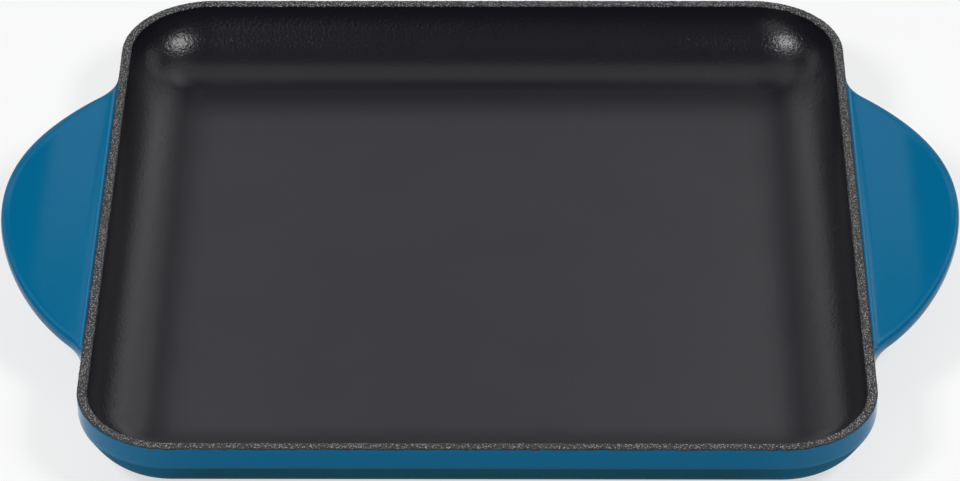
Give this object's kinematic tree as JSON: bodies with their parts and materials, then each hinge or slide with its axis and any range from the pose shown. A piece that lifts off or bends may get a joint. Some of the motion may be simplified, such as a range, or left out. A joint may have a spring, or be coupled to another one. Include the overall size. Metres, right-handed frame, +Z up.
{
  "type": "square griddle pan",
  "caption": "Shallow square cast-iron griddle pan with rounded corners, a curved ear handle on opposite sides, satin black enamel inside and glossy blue enamel outside.",
  "frame": {"origin": "centre of the underside, on the surface that the pan stands on", "axes": "+X towards one ear handle, +Y along the pan's side, +Z up out of the pan"},
  "size_m": [0.3084, 0.245, 0.0244],
  "materials": {
    "iron": "bare grey casting under the enamel",
    "black_enamel": "satin black with a fine orange-peel grain",
    "rim_enamel": "dull dark grey with light specks",
    "blue_enamel": "glossy blue, darker towards the edges"
  },
  "bodies": {
    "root": {"iron_casting": "iron", "cooking_enamel": "black_enamel", "rim_enamel": "rim_enamel", "outer_enamel": "blue_enamel"}
  },
  "joints": []
}
